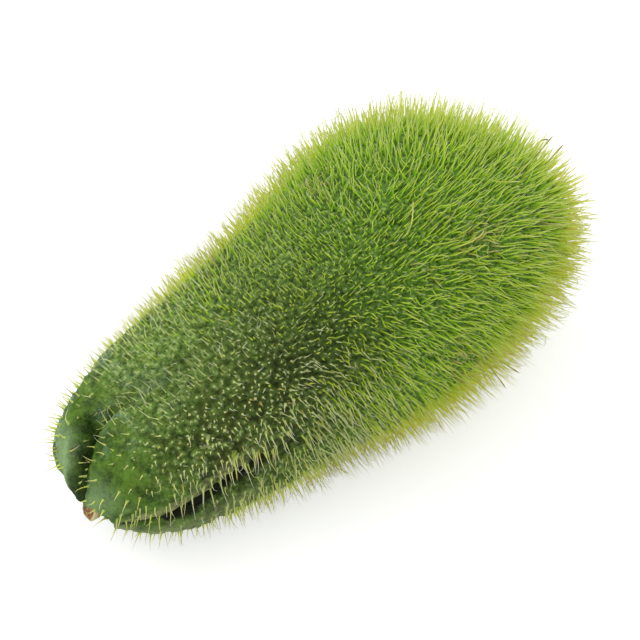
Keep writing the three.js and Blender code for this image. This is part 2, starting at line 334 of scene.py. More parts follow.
class Shade:
    """An output socket in a material's nodes. Operators add Math nodes, and make() adds any other."""

    def __init__(self, tree, socket=None):
        self.tree = tree
        self.socket = socket

    def make(self, kind, settings=None, inputs=None, output=0):
        """Adds a node: its settings first, then values or links for its sockets, by name or number."""
        node = self.tree.nodes.new("ShaderNode" + kind)
        for name, value in (settings or {}).items():
            if name == "stops":
                ramp = node.color_ramp
                while len(ramp.elements) < len(value):
                    ramp.elements.new(1)
                for element, (place, colour) in zip(ramp.elements, value):
                    element.position = place
                    element.color = (*colour, 1)
            else:
                setattr(node, name, value)
        for key, value in (inputs or {}).items():
            socket = node.inputs[key]
            if isinstance(value, Shade):
                self.tree.links.new(value.socket, socket)
            else:
                socket.default_value = value
        return Shade(self.tree, node.outputs[output] if node.outputs else None)

    def math(self, operation, *values):
        """A Math node on values, of which some may be sockets."""
        return self.make("Math", {"operation": operation}, dict(enumerate(values)))

    def __add__(self, other):
        return self.math("ADD", self, other)

    def __sub__(self, other):
        return self.math("SUBTRACT", self, other)

    def __rsub__(self, other):
        return self.math("SUBTRACT", other, self)

    def __mul__(self, other):
        return self.math("MULTIPLY", self, other)

    __radd__ = __add__
    __rmul__ = __mul__

    def over(self, limit):
        """1 where this is over the limit, and 0 elsewhere."""
        return self.math("GREATER_THAN", self, limit)

    def ramp(self, *stops):
        """A colour that follows this number through stops: each a place, then red, green and blue."""
        coloured = [(place, srgb(*colour)) for place, *colour in stops]
        return self.make("ValToRGB", {"stops": coloured}, {"Fac": self})

    def rise(self, low, high):
        """0 below low, 1 above high and smooth between."""
        settings = {"interpolation_type": "SMOOTHSTEP"}
        return self.make("MapRange", settings, {"Value": self, "From Min": low, "From Max": high})

    def mix(self, start, end):
        """The colour start where this is 0, and end where it is 1."""
        colours = {6: start, 7: end}  # the node's sockets for colours
        for key, colour in colours.items():
            if not isinstance(colour, Shade):
                colours[key] = (*colour, 1)
        return self.make("Mix", {"data_type": "RGBA"}, {0: self, **colours}, output=2)


def material(name):
    """An empty material and a Shade to make its nodes with."""
    made = bpy.data.materials.new(name)
    made.use_nodes = True
    made.node_tree.nodes.clear()
    return made, Shade(made.node_tree)


def finish_material(shade, surface):
    """Ends a material with its surface."""
    shade.make("OutputMaterial", None, {"Surface": surface})


def skin_material():
    """Waxy green rind: mottled green, fresher or duller by place, with pale dots, and painted shade in the
    gaps and pits where it is rough, then olive patches, corky lips, waxy bloom with painted glints and
    painted shade where the point values say."""
    made, shade = material("waxy_green_rind")
    where = shade.make("TexCoord", output="Object")

    def blotch(size, detail=3.0, rough=0.55):
        """Cloudy noise from 0 to 1, with blotches of a size in millimetres."""
        inputs = {"Vector": where, "Scale": 1 / (size * MM), "Detail": detail, "Roughness": rough}
        return shade.make("TexNoise", None, inputs)

    def worth(name):
        """One of the skin's point values."""
        return shade.make("Attribute", {"attribute_name": name}, output="Fac")

    mottle = blotch(4).rise(0.35, 0.65)
    fine = blotch(0.9, 4.0, 0.65).rise(0.4, 0.62)
    shaded_pits = blotch(0.7, 2.0, 0.6).rise(0.52, 0.66)
    green = mottle.mix(srgb(44, 70, 16), srgb(96, 134, 42))
    green = worth("fresh").mix(green, srgb(98, 152, 28))
    green = worth("dull").mix(green, srgb(42, 68, 12))
    green = worth("lump").mix(green, srgb(150, 182, 88))
    rough = worth("rough")
    dot_spacing = {"Vector": where, "Scale": 1 / (1.7 * MM), "Randomness": 0.8}
    away = shade.make("TexVoronoi", None, dot_spacing, "Distance")
    dots = (1 - away.rise(0.14, 0.46)) * rough
    # painted shade in the gaps between the pale dots
    gap_shade = away.rise(0.5, 0.75) * rough
    green = (gap_shade * 0.6).mix(green, srgb(34, 52, 14))
    green = (dots * 0.85).mix(green, srgb(190, 218, 134))
    green = (fine * (rough * 0.35 + 0.18)).mix(green, srgb(130, 170, 78))
    # painted shade in the small pits, which the bump also sinks
    green = (shaded_pits * (rough * 0.6 + 0.05)).mix(green, srgb(30, 48, 10))
    tan = worth("olive") * blotch(3.5).rise(0.38, 0.62)
    green = (tan * 0.8).mix(green, srgb(80, 88, 28))
    green = worth("pale").mix(green, srgb(146, 176, 122))
    cork = worth("cork") * blotch(1.1, 4.0, 0.7).rise(0.36, 0.56)
    green = cork.mix(green, srgb(156, 158, 104))
    # waxy bloom on the lobes' ridges, partly painted glints: a pale sheen with bright specks
    bloom = worth("bloom")
    green = (bloom * 0.4).mix(green, srgb(130, 170, 140))
    specks_and_glints = blotch(0.42, 1.0, 0.5).rise(0.54, 0.64) * bloom
    green = (specks_and_glints * 0.85).mix(green, srgb(196, 220, 202))
    green = worth("shade").mix(green, srgb(20, 28, 6))
    bumps = blotch(0.8, 3.0, 0.6) + blotch(3.0) * 0.8 - shaded_pits * 0.4 + dots * 0.8
    normal = shade.make("Bump", None, {"Strength": 0.8, "Distance": 0.6 * MM, "Height": bumps})
    surface = shade.make("BsdfPrincipled", None, {
        "Base Color": green,
        "Roughness": 0.4 + blotch(1.6) * 0.25,
        "Normal": normal,
        "Specular IOR Level": 0.12,
    })
    finish_material(shade, surface)
    return made


def bristle_material():
    """Translucent bristles. Their map is a chart: across it the kind of bristle, from fresh green to golden,
    then the neck's from straw to lime, then dry and dark-tipped ones, and up it four shades, each from root
    to tip."""
    made, shade = material("translucent_bristles")
    chart = shade.make("UVMap", {"uv_map": "OFBake"})
    kind = shade.make("SeparateXYZ", None, {0: chart}, "X")
    level = shade.make("SeparateXYZ", None, {0: chart}, "Y") * SHADES
    along = level.math("FRACT", level)
    bright = level.math("FLOOR", level) * (1 / (SHADES - 1))
    fresh = along.ramp((0, 80, 126, 22), (0.2, 132, 190, 42), (0.5, 188, 242, 72), (1, 208, 242, 106))
    golden = along.ramp((0, 200, 208, 44), (0.3, 248, 250, 76), (0.8, 255, 252, 108), (1, 160, 150, 70))
    straw = along.ramp((0, 148, 170, 90), (0.1, 194, 210, 132), (0.3, 218, 230, 162), (1, 246, 248, 212))
    lime = along.ramp((0, 82, 128, 46), (0.1, 146, 186, 84), (0.35, 212, 222, 84), (1, 226, 214, 130))
    dry = along.ramp(
        (0, 108, 124, 60), (0.15, 150, 158, 86), (0.4, 210, 188, 112), (0.75, 232, 210, 146),
        (1, 206, 164, 112),
    )
    dark = along.ramp((0, 130, 154, 62), (0.6, 186, 190, 100), (0.84, 140, 126, 76), (0.92, 46, 38, 34))
    colour = (kind * (1 / FRESH_END)).mix(fresh, golden)
    on_neck = ((kind - NECK) * (1 / (NECK_END - NECK))).mix(straw, lime)
    for start, kind_colour in ((NECK, on_neck), (DRY, dry), (DARK, dark)):
        colour = kind.over(start - KIND_EDGE).mix(colour, kind_colour)
    # the chart's dull shades: given by chance and as painted shade at the waist; the bright ones also as
    # painted glow at the edge
    duller = colour.make("HueSaturation", None, {"Color": colour, "Value": 0.54, "Saturation": 1.0})
    colour = bright.mix(duller, colour)
    surface = shade.make("BsdfPrincipled", None, {
        "Base Color": colour,
        "Roughness": 0.6,
        "Specular IOR Level": 0.08,
        "Subsurface Weight": 1.0,
        "Subsurface Radius": (1.0, 1.0, 0.4),
        "Subsurface Scale": MM,
    })
    finish_material(shade, surface)
    return made


def stub_material():
    """Dry cork: brown at the broken end, pale at its rim, with fine fibres."""
    made, shade = material("corky_stalk")
    where = shade.make("TexCoord", output="Object")
    grain = shade.make("TexNoise", None, {"Vector": where, "Scale": 900.0, "Detail": 4.0}).rise(0.35, 0.7)
    rim = shade.make("Attribute", {"attribute_name": "rim"}, output="Fac")
    brown = grain.mix(srgb(112, 74, 42), srgb(180, 134, 84))
    colour = rim.mix(brown, srgb(224, 214, 158))
    normal = shade.make("Bump", None, {"Strength": 0.6, "Distance": 0.2 * MM, "Height": grain})
    surface = shade.make("BsdfPrincipled", None, {"Base Color": colour, "Roughness": 0.8, "Normal": normal})
    finish_material(shade, surface)
    return made


# ---------------------------------------------------------------- the skin

SKIN_ROWS, SKIN_COLUMNS = 240, 396
PIMPLE_HEIGHT, PIMPLE_WIDTH = 0.65, 0.9
PIMPLE_WINDOW = 5  # rows and columns on each side of a bristle in which its pimple is felt
CRACK_FEET = ([6, 12, 20, 34], [0.12, 0.17, 0.15, 0.06])  # along the fruit, and how far the slit opens
DARK_SLIT, DARK_VALLEY = 4.4, 4.2  # depths at which the painted shade in slits and valleys is darkest


def shaded_waist(x, angle):
    """How much painted shade makes skin and bristles duller and darker: most on the upper side of the waist.
    """
    return near_angle(angle, 128, 0.5) * bell(x - 66, 24)


def flank_share(x, angle):
    """The side of the waist where bristles are short and dull."""
    return near_angle(angle, 72, 0.6) * bell(x - 68, 32)


def crowding(x, angle):
    """The ridge of the neck where bristles stand close, short and on broad pimples."""
    return near_angle(angle, 139, 0.38) * band(x, 14, 24, 40, 75)


def hairiness(x, angle):
    """The side of the neck where bristles are thin as hairs."""
    return near_angle(angle, 80, 0.55) * band(x, 8, 20, 34, 62)


def lip_marks(x, under_lip, ragged):
    """What goes with the open slit, by the angle from its middle: painted shade in the crack, the corky lip
    over it and the grey lobe under it. Their edges are ragged."""
    place = under_lip + ragged
    near_stem = fade(x, 33, 44)
    crack_foot = np.interp(x, *CRACK_FEET)
    crack = band(place, -0.1, -0.05, crack_foot, crack_foot + 0.07) * near_stem
    lip = band(place, -0.36, -0.26, -0.12, -0.07) * band(x, 1, 6, 30, 46)
    return crack, lip, band(place, 0.18, 0.3, 0.6, 1) * near_stem


def fold_marks(x, in_fold):
    """What goes with the folded lobe, by the angle into the fold: painted shade on its facet and in the
    cavity behind it, a painted highlight along its edge, and the pale lobe beyond."""
    facet = band(in_fold, -0.12, 0, 0.3, 0.46) * fade(x, 7, 12)
    cavity = band(in_fold, -0.22, -0.15, 0.08, 0.2) * bell(x - 5.5, 2.6)
    # a painted highlight along the folded lobe's edge
    edge_highlight = 0.5 * bell(in_fold - 0.45, 0.12) * fade(x, 4, 9)
    return facet, cavity, edge_highlight, band(in_fold, 0.34, 0.5, 0.9, 1.6) * fade(x, 2, 9)


def skin_marks(along, angle, points, pimples):
    """How far each mark shows at places on the skin, from 0 to 1."""
    x = outline_at(along)[0][..., 0]
    out_of_hollow = smoothstep(along, 0.03, 0.055)
    slit = sum(slit_share(furrow, x, angle, 1.1) * furrow.slit / DARK_SLIT for furrow in FURROWS)
    valley = sum(valley_share(furrow, x, angle) ** 1.5 * furrow.valley / DARK_VALLEY for furrow in FURROWS)
    ragged = 0.03 * noise(points, 1.2, 21) + 0.02 * noise(points, 3, 22)
    crack, lip, lower_lobe = lip_marks(x, off_furrow(OPEN, x, angle), ragged)
    in_fold = ragged - off_furrow(FOLDED, x, angle)
    facet, cavity, edge_highlight, far_lobe = fold_marks(x, in_fold)
    ridges = near_angle(angle, 52, 0.35) + near_angle(angle, 96, 0.25)
    patches = smoothstep(noise(points, 7, 23) + 0.5 * noise(points, 3, 24), -0.1, 0.5)
    middle_tip = near_angle(angle, 133, 0.34) * fade(x, 1, 9)
    bumpy = smoothstep(x, 12, 26) * (1 - 0.5 * smoothstep(x, 70, 100))
    hairy = hairiness(x, angle)
    # painted shade between the pimples where the skin is bumpy
    gap_shade = (0.5 + 0.2 * crowding(x, angle) - 0.4 * hairy) * (1 - pimples) * bumpy
    # painted shade in the slits, the stem hollow, the valleys, on the folded lobe's facet, in its cavity and
    # in the crack
    dark = slit * 0.8 + (1 - out_of_hollow) * 0.9 + valley * 0.2 + facet * 0.45 + cavity + crack * 1.2
    # pale lobe tip and lobes, with a painted highlight along the folded lobe's edge
    pale = 0.75 * middle_tip + 0.7 * far_lobe + edge_highlight + 0.35 * lower_lobe
    return {
        # painted shade of the slits, hollow, gaps and waist
        "shade": np.clip(dark + gap_shade + 0.45 * shaded_waist(x, angle), 0, 1),
        "rough": smoothstep(x, 9, 26),
        "dull": 0.85 * flank_share(x, angle),
        "lump": np.clip(0.75 * pimples * bumpy + 0.35 * hairy, 0, 1) * out_of_hollow,
        "cork": np.clip(lip + lower_lobe * 0.5, 0, 1) * out_of_hollow,
        "bloom": np.clip(ridges * band(x, 3, 8, 15, 38) * patches, 0, 1),
        "pale": np.clip(pale, 0, 1) * out_of_hollow,
        "fresh": smoothstep(x, 50, 90) * 0.8,
        "olive": np.clip(near_angle(angle, 140, 0.6) * bell(x - 40, 24) * 1.1, 0, 1),
    }


def lumps(along, points, pimples):
    """Relief of the skin in millimetres: soft lumps, finer ones on the neck, and the bristles' pimples,
    which are highest on the neck."""
    neck = fade(along, 0.4, 0.7)
    soft = 0.3 * noise(points, 9, 1) + 0.2 * noise(points, 3.4, 2) + 0.25 * neck * noise(points, 1.5, 3)
    return soft + PIMPLE_HEIGHT * pimples * (0.5 + 0.5 * neck) * smoothstep(along, 0.1, 0.24)


def pimples_at(points, along, angle, roots):
    """How near the skin's points lie to a bristle's root, from 0 to 1: a bell round each root, the highest
    where bells meet. Only the points in a window round each root are looked at."""
    rows, columns = points.shape[:2]
    row = np.round(along ** (1 / ROW_POWER) * SKIN_ROWS).astype(int) - 1
    column = np.floor(angle / (2 * math.pi) * SKIN_COLUMNS).astype(int)
    reach = np.arange(-PIMPLE_WINDOW, PIMPLE_WINDOW + 1)
    row_near = np.clip(row[:, None, None] + reach[:, None], 0, rows - 1)
    column_near = (column[:, None, None] + reach) % columns
    near = tuple(np.broadcast_arrays(row_near, column_near))
    away = np.linalg.norm(points[near] - roots[:, None, None], axis=-1)
    found = np.zeros((rows, columns))
    np.maximum.at(found, near, bell(away, PIMPLE_WIDTH))
    return found


def press_flat(points):
    """Flattens what would sink into the floor."""
    return np.concatenate([points[..., :2], np.maximum(points[..., 2:], 0)], -1)


def skin_map(rows_at, turns_at):
    """Places on the skin's map for the corners of its quads and of its two end fans: the angle across it
    and the rows up it."""
    turn = np.arange(SKIN_COLUMNS) / SKIN_COLUMNS

    def corner(columns_on, height):
        """One corner of a fan's triangles, some columns on from their first one."""
        return np.stack([turn + columns_on / SKIN_COLUMNS, np.full(SKIN_COLUMNS, height)], 1)

    first, last = 1 / SKIN_ROWS, 1 - 1 / SKIN_ROWS
    quads = np.stack([turns_at / SKIN_COLUMNS, (rows_at + 1) / SKIN_ROWS], -1)
    stem_fan = np.stack([corner(0.5, 0.0), corner(1, first), corner(0, first)], 1)
    blossom_fan = np.stack([corner(0.5, 1.0), corner(0, last), corner(1, last)], 1)
    return np.concatenate([part.reshape(-1, 2) for part in (quads, stem_fan, blossom_fan)])


def make_skin(rooted):
    """The fruit's skin: its form with lumps added along the normal, in rows round it, closed at both ends.
    It rises a little round the bristles, which are rooted at the given places along and round it."""
    along, angle = grid(SKIN_ROWS, SKIN_COLUMNS)
    points = fruit(along, angle)
    pimples = pimples_at(points, *rooted, fruit(*rooted))
    relief = lumps(along, points, pimples) * smoothstep(along, 0.0, 0.05)
    points = press_flat(points + skin_normal(along, angle) * relief[..., None])
    poles = press_flat(fruit(np.array([0.0, 1.0]), np.zeros(2)))
    quads, rows_at, turns_at = revolve_faces(SKIN_ROWS - 1, SKIN_COLUMNS)
    faces = [quads, *closing_fans(SKIN_ROWS - 1, SKIN_COLUMNS)]
    marks = skin_marks(along, angle, points, pimples)
    at_poles = {"shade": (0.9, 0.3)}
    values = {name: np.append(mark, at_poles.get(name, (0, 0))) for name, mark in marks.items()}
    all_points = np.concatenate([points.reshape(-1, 3), poles])
    return mesh_object("skin", all_points, faces, skin_map(rows_at, turns_at), **values)


# ---------------------------------------------------------------- the bristles

STEPS = np.array([0, 0.07, 0.17, 0.34, 0.54, 0.72, 0.87, 1])  # shares of its length at which a bristle bends
SHADES = 4
FRESH_END, NECK, NECK_END, DRY, DARK = 0.44, 0.5, 0.7, 0.8, 0.9  # the kinds' places on the chart
STRIP = 0.03  # how much of the chart's width one bristle takes
KIND_EDGE = 0.01  # how much before its place a kind starts
CHART_MARGIN, CAP_ON_CHART = 0.04, 0.02  # margin above and below each shade, and how high its cap goes
ROOTED = 0.35  # how deep a bristle stands in the skin
CLEAR_OF_FLOOR, LOWEST = 0.25, 0.02  # heights above the floor of its middle and of its underside
ACROSS_BRISTLES = (0.3, 0.5, 0.81)  # a way in which hardly any bristle points
CAMERA_SIDE = unit(np.array([-0.33, -0.47, 0.82]))  # the side facing the camera, where bristles are greenest; those turned from it are painted golden and bright, a painted glow
GREEN_TOP = unit(np.array([0.59, 0.31, 0.75]))  # where they are green right to the edge
TUFT_SIZE, TUFT_SEEDS = 5, (41, 42, 43)

# How bristles change along the fruit: distances along it, and values there in millimetres.
SPACINGS = ([0, 12, 25, 40, 55, 70, 90, 150], [3.2, 2.3, 1.9, 1.75, 1.55, 1.42, 1.4, 1.46])
LENGTHS = ([0, 20, 45, 80, 110, 150], [5.2, 5.4, 5.6, 6.6, 7.8, 8.4])
FOOT_RADII = ([0, 12, 40, 60, 80, 150], [0.75, 0.8, 1.1, 0.95, 0.75, 0.7])
STEM_RADII = ([0, 40, 80, 150], [0.18, 0.18, 0.26, 0.3])
JITTERS = ([30, 90], [0.28, 0.17])  # these are shares of the spacing
FOOT_REACH, TAPER, BLUNTNESS = 0.09, 0.95, 0.08  # how soon a foot narrows, and how the tip is shaped

BARE_MOUTH = 0.075  # share of the outline, inside the hollow, that has no bristles
ROOTS_FROM, ROOTS_TO = 0.06, 0.998  # shares of the outline
ROOTS_ABOVE = 0.5  # least height of a root over the floor
BARE_SLIT = 3  # depth from which a slit has no bristles
# Each stretch of bristles: how many sides they have, and where along the fruit it starts and ends.
STRETCHES = {
    "neck_bristles": (5, -math.inf, 56),
    "waist_bristles": (3, 56, 92),
    "belly_bristles": (3, 92, 118),
    "crown_bristles": (3, 118, math.inf),
}
# Spots where bristles are dry and tangled: distance along the fruit, angle round it, radius.
WORN_SPOTS = ((119, 129, 5), (100, 132, 3), (98, 170, 6), (103, 186, 4), (92, 62, 3), (40, 146, 3))
# Single bristles with a dark tip: distance along the fruit and angle round it.
DARK_TIPS = ((145.5, 77), (146.5, 84), (147.9, 90), (109, 194), (107, 197), (36, 150))
DARK_TIP_LENGTH, DARK_TIP_BLUNTNESS = 9.5, 0.9
# Long stray bristles that lie over the others: distance along, angle round, towards what, and length.
STRAYS = (
    (100.3, 110, (7.7, 7.9, 2.6), 15),
    (108, 127, (9, 1, 1), 13),
    (129, 107, (8, -3, -4), 11),
    (138, 150, (6, 1, -4), 9),
    (90, 137, (2, -3, -2), 9),
)
STRAY_BEND, STRAY_HOOK, STRAY_WAVE, STRAY_BLUNTNESS = 2.1, 0.2, 0.15, 0.5


def grow(roots, headings, sideways, lengths, bend, hook, wave, phase):
    """Centre lines of bristles: each turns from its heading towards its sideways direction by bend over its
    length and by hook near its tip, sways across that by wave, and runs along the floor where it would
    sink into it. Gives the places and directions at all steps."""
    across = np.cross(headings, sideways)
    places, ways = [roots], []
    for before, after in zip(STEPS[:-1], STEPS[1:]):
        middle = (before + after) / 2
        turned = bend * middle**1.4 + hook * smoothstep(middle, 0.5, 0.95)
        swayed = wave * np.sin(phase + 5 * middle) * smoothstep(middle, 0.05, 0.4)
        way = headings * np.cos(turned)[:, None] + sideways * np.sin(turned)[:, None]
        way = unit(way + across * swayed[:, None])
        step = lengths * (after - before)
        least = (CLEAR_OF_FLOOR - places[-1][:, 2]) / step
        rise = np.clip(np.maximum(way[:, 2], least), -1, 0.9)
        level = way[:, :2] + 1e-3 * np.sign(sideways[:, :2])
        level = level / np.linalg.norm(level, axis=1, keepdims=True) * np.sqrt(1 - rise**2)[:, None]
        way = np.concatenate([level, rise[:, None]], 1)
        places.append(places[-1] + way * step[:, None])
        ways.append(way)
    return np.stack(places, 1), np.stack([ways[0], *ways], 1)


def bristle_mesh(name, sides, places, ways, radii, kinds, shades):
    """A closed tapering tube along each centre line, mapped to its strip of the chart: rings of points
    across it, closed by a cap at the root and by a fan at the tip."""
    count, rings = len(places), len(STEPS)
    after = np.concatenate([ways[:, 1:], ways[:, -1:]], 1)
    along = unit(ways + after)[:, :-1]
    wide = unit(np.cross(along, ACROSS_BRISTLES))
    high = np.cross(along, wide)
    turns = (np.arange(sides) / sides * 2 * math.pi)[:, None]
    circles = wide[:, :, None] * np.cos(turns) + high[:, :, None] * np.sin(turns)
    points = places[:, :-1, None] + circles * radii[:, :-1, None, None]
    points = np.concatenate([points.reshape(count, -1, 3), places[:, -1:]], 1)
    points[..., 2] = np.maximum(points[..., 2], LOWEST)
    per_bristle = (rings - 1) * sides + 1
    quads, rows_at, turns_at = revolve_faces(rings - 1, sides)
    side = np.arange(sides)
    tip_ring = (rings - 2) * sides
    fan = np.stack([tip_ring + side, tip_ring + (side + 1) % sides, np.full_like(side, per_bristle - 1)], 1)
    cap = side[None, ::-1]
    offset = (np.arange(count) * per_bristle)[:, None, None]

    def charted(turn, share):
        """Corner places on the chart for every bristle."""
        u = kinds[:, None, None] + STRIP * turn / sides
        v = (shades[:, None, None] + CHART_MARGIN + (1 - 2 * CHART_MARGIN) * share) / SHADES
        return np.stack(np.broadcast_arrays(u, v), -1).reshape(-1, 2)

    uv = np.concatenate([
        charted(turns_at[None], STEPS[rows_at][None]),
        charted(np.stack([side, side + 1, side + 0.5], 1)[None], STEPS[[-2, -2, -1]][None, None]),
        charted(side[None, None], CAP_ON_CHART * (side[None, None] % 2)),
    ])
    faces = [(f[None] + offset).reshape(-1, f.shape[1]) for f in (quads, fan, cap)]
    return mesh_object(name, points.reshape(-1, 3), faces, uv)


def scatter_roots(rng):
    """Places for the bristles: along the fruit by how much skin each needs, round it by golden turns, so
    that neighbours keep an even distance, and then a little jitter. Some are left out near the stem, and
    all in the slits and on the rest."""
    fine_x, fine_radius = FINE_OUTLINE.T
    middle_x = (fine_x[1:] + fine_x[:-1]) / 2
    ring_area = 2 * math.pi * (fine_radius[1:] + fine_radius[:-1]) / 2 * FINE_STEPS
    room = 0.9 * np.interp(middle_x, *SPACINGS) ** 2
    wanted = np.where(FINE_SHARE[1:] > BARE_MOUTH, ring_area / room, 0)
    running = np.concatenate([[0], np.cumsum(wanted)])
    count = int(running[-1])
    along = np.interp(np.arange(count) + 0.5, running, FINE_SHARE)
    angle = (np.arange(count) * GOLDEN_TURN) % (2 * math.pi)
    place = outline_at(along)[0]
    jitter = np.interp(place[:, 0], *JITTERS) * np.interp(place[:, 0], *SPACINGS)
    along = along + rng.normal(0, 1, count) * jitter / FINE_LENGTH[-1]
    angle = angle + rng.normal(0, 1, count) * jitter / np.maximum(place[:, 1], 3)
    along = np.clip(along, ROOTS_FROM, ROOTS_TO)
    x = outline_at(along)[0][:, 0]
    near_lip = bell(off_furrow(OPEN, x, angle), 0.25) * fade(x, 45, 60)
    in_slit = sum(slit_share(furrow, x, angle, 1.3) * min(furrow.slit / BARE_SLIT, 1) for furrow in FURROWS)
    sparser = 0.4 * fade(x, 18, 40) * (1 - crowding(x, angle)) * (1 - 0.8 * hairiness(x, angle))
    sparser = sparser + 0.35 * near_lip * smoothstep(x, 15, 30)
    keep = (rng.random(count) > in_slit * 1.3 + sparser) & (fruit(along, angle)[:, 2] > ROOTS_ABOVE)
    return along[keep], angle[keep] % (2 * math.pi)


def away_from(roots, x, degrees):
    """How far each root lies from a place, which is given along the fruit and by its angle round it."""
    past_mouth = FINE_SHARE > 0.1
    along = np.interp(x, FINE_OUTLINE[past_mouth, 0], FINE_SHARE[past_mouth])
    return np.linalg.norm(roots - fruit(np.array([along]), np.radians([degrees])), axis=1)


def bristle_sites(along, angle):
    """What bristles go by: where each is rooted, which way the skin faces there, and how far, from 0 to 1,
    it stands in each part of the fruit."""
    x = outline_at(along)[0][:, 0]
    roots, normal = fruit(along, angle), skin_normal(along, angle)
    under_lip = off_furrow(OPEN, x, angle)
    # how far the skin turns from the camera: bristles turned away get a painted glow
    turned_from_camera = -(normal @ CAMERA_SIDE)
    turned_away = smoothstep(turned_from_camera, -0.55, 0.05)
    return SimpleNamespace(
        count=len(x), x=x, angle=angle, roots=roots, normal=normal, under_lip=under_lip,
        turned_away=turned_away,
        # rim: near the fruit's edge as the camera sees it, where a painted glow makes bristles golden, lime
        # and brighter
        rim=turned_away * (1 - 0.6 * smoothstep(turned_from_camera, 0.3, 0.8)),
        neck=fade(x, 40, 75),
        flank=flank_share(x, angle),
        hairy=hairiness(x, angle),
        crowded=crowding(x, angle),
        over_slit=bell(under_lip + 0.16, 0.13) * band(x, 3, 12, 40, 52),
        worn=sum(bell(away_from(roots, *spot[:2]), spot[2]) for spot in WORN_SPOTS).clip(0, 1),
    )


def bristle_headings(rng, at):
    """The ways bristles set out: along the normal, astray by chance and with their tuft, down over the slit,
    towards the stem on the lobes and away from it further on."""
    spread = 0.15 - 0.04 * at.neck - 0.04 * at.flank + 0.1 * at.worn
    stray = rng.normal(0, 1, (at.count, 3)) * spread[:, None]
    tufts = np.stack([noise(at.roots, TUFT_SIZE, seed) for seed in TUFT_SEEDS], 1) * 0.16
    droop = 0.4 * bell(at.under_lip + 0.16, 0.2) * fade(at.x, 40, 60)
    to_stem = 0.3 * fade(at.x, 35, 62) * near_angle(at.angle, 180, 0.9)
    leaning = 0.16 * smoothstep(at.x, 48, 78) - to_stem
    pulled = droop[:, None] * (-0.1, -0.3, -1.0) + leaning[:, None] * (1, 0, 0)
    return unit(at.normal + stray + tufts + pulled)


def bristle_lengths(rng, at):
    """Lengths by place, and by chance round that: some short and some broken, longer over the slit and on
    the far sides, shorter on the flank and on the crowded ridge."""
    lengths = np.interp(at.x, *LENGTHS) * rng.normal(1, 0.2, at.count).clip(0.45, 1.35)
    lengths = lengths * np.where(rng.random(at.count) < 0.35 * (1 - at.neck), 0.6, 1)
    by_part = 1 + 0.55 * at.over_slit - 0.25 * at.flank * (1 - at.turned_away) - 0.35 * at.crowded
    lengths = lengths * by_part * (0.84 + 0.32 * at.turned_away * smoothstep(at.x, 20, 60))
    broken = rng.random(at.count) < 0.03 + 0.05 * at.neck + 0.3 * at.worn
    return np.where(broken, lengths * rng.uniform(0.35, 0.75, at.count), lengths)


def bristle_curls(rng, at):
    """How far bristles bend, hook at the tip and sway: a little by chance, and more where they are hooked or
    tangled."""
    bend = np.abs(rng.normal(0, 0.1 + 0.1 * at.neck, at.count))
    bend = bend + 0.4 * at.neck * (rng.random(at.count) < 0.25)
    hooked = rng.random(at.count) < 0.13 + 0.02 * at.neck + 0.2 * at.flank + 0.5 * at.worn
    hook = np.where(hooked, rng.uniform(0.5, 2.0, at.count), 0)
    tangled = rng.random(at.count) < 0.03 + 0.05 * at.flank + 0.3 * at.worn
    wave = rng.normal(0, 0.06, at.count) + np.where(tangled, rng.uniform(0.3, 0.8, at.count), 0)
    return bend, hook, wave


def bristle_kinds(rng, at):
    """Each bristle's place across the chart: golden partly by chance, towards the neck and where worn, and
    partly as a painted glow on the far sides, but not at the green top; on the neck straw or lime, limer by
    painted glow at the edge, and a few dry."""
    green_top = bell(np.arccos((at.normal @ GREEN_TOP).clip(-1, 1)), 0.5)
    golden = 0.04 + at.rim * (1 - green_top) + 0.12 * noise(at.roots, 14, 7) + 0.2 * at.worn
    golden = golden + rng.normal(0, 0.1, at.count) + 0.25 * fade(at.x, 60, 100)
    golden = golden - 0.5 * near_angle(at.angle, 42, 0.5) * fade(at.x, 100, 130)
    kinds = golden.clip(0, 1) * (FRESH_END - STRIP)
    liming = 0.2 + 0.8 * at.rim + 0.5 * fade(at.x, 5, 25) + rng.normal(0, 0.15, at.count)
    on_neck = rng.random(at.count) < fade(at.x + 24 * near_angle(at.angle, 72, 0.6), 50, 90)
    kinds = np.where(on_neck, NECK + liming.clip(0, 1) * (NECK_END - NECK - STRIP), kinds)
    return np.where(rng.random(at.count) < 0.012 + 0.03 * at.neck + 0.3 * at.worn, DRY, kinds)


def bristle_shades(rng, at):
    """Each bristle's shade, as a step up the chart: duller on the flank and by painted shade at the waist,
    brighter on the wide end and by painted glow at its edge, and alike within a tuft."""
    usual = 2.1 - 0.7 * at.flank * (1 - at.turned_away) - 1.1 * shaded_waist(at.x, at.angle)
    brightness = rng.normal(usual, 1.2, at.count) + 0.6 * smoothstep(at.x, 80, 110) + 0.8 * at.rim
    brightness = brightness + noise(at.roots, TUFT_SIZE, 44)
    return np.round(brightness).clip(0, SHADES - 1).astype(int)


def bristle_radii(at, bluntness):
    """Radii at each step: the stem's, which tapers to the tip, and a foot that narrows fast. Feet are broad
    on the crowded ridge, and narrow over the slit and among the hairs."""
    near_lip = bell(at.under_lip, 0.3) * fade(at.x, 50, 65)
    foot = np.interp(at.x, *FOOT_RADII) * (1 - 0.4 * at.hairy) * (1 - 0.35 * at.over_slit)
    foot = foot + 0.85 * at.crowded * (1 - near_lip)
    stem = np.interp(at.x, *STEM_RADII) * (1 - 0.3 * at.hairy)
    taper = (1 - STEPS) ** TAPER * (1 - bluntness[:, None]) + bluntness[:, None]
    return stem[:, None] * taper + (foot - stem)[:, None] * np.exp(-STEPS / FOOT_REACH)


